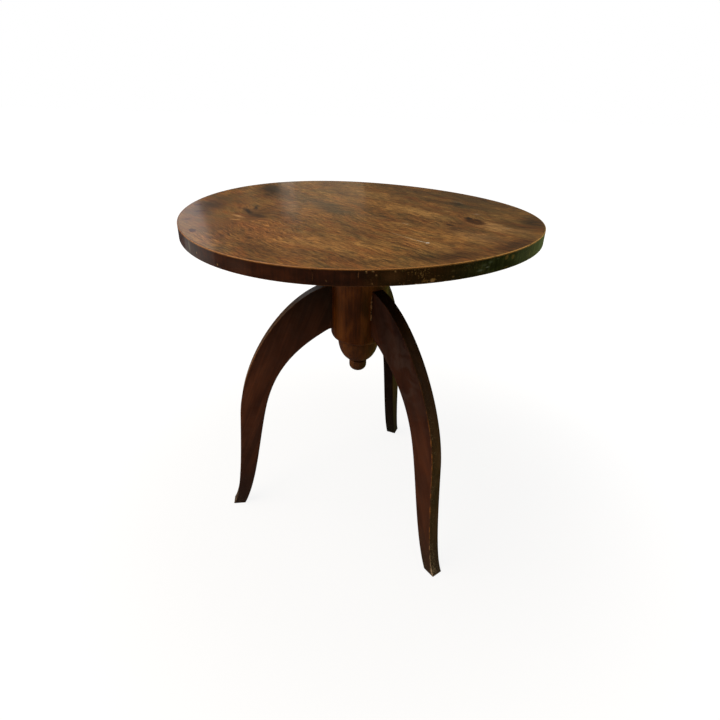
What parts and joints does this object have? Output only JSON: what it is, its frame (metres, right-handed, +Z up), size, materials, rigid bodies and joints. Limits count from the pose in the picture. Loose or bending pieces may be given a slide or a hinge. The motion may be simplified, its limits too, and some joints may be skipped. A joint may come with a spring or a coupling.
{
  "type": "tripod table",
  "caption": "Round wooden side table: disc top with an edge band on a turned column with a drop finial, carried by S-curved tripod legs.",
  "frame": {"origin": "on the floor, on the axis of the column and the round top", "axes": "+Z up; -Y towards the picture's camera, +X to the picture's right"},
  "size_m": [0.6, 0.6, 0.645],
  "materials": {
    "top_wood": "satin warm brown stain, worn",
    "band_wood": "satin dark brown stain, worn arrises",
    "block_wood": "raw",
    "column_wood": "satin brown polish",
    "finial_wood": "satin red-brown polish",
    "leg_wood": "satin very dark red-brown polish",
    "dowel_wood": "raw",
    "screw_steel": "plain"
  },
  "bodies": {
    "root": {"tabletop": "top_wood", "edge_band": "band_wood", "mounting_block": "block_wood", "screw_1": "screw_steel", "screw_2": "screw_steel", "screw_3": "screw_steel", "screw_4": "screw_steel", "column": "column_wood", "drop_finial": "finial_wood", "leg_left": "leg_wood", "leg_front": "leg_wood", "leg_rear": "leg_wood", "dowel_left_lower": "dowel_wood", "dowel_left_upper": "dowel_wood", "dowel_front_lower": "dowel_wood", "dowel_front_upper": "dowel_wood", "dowel_rear_lower": "dowel_wood", "dowel_rear_upper": "dowel_wood"}
  },
  "joints": []
}
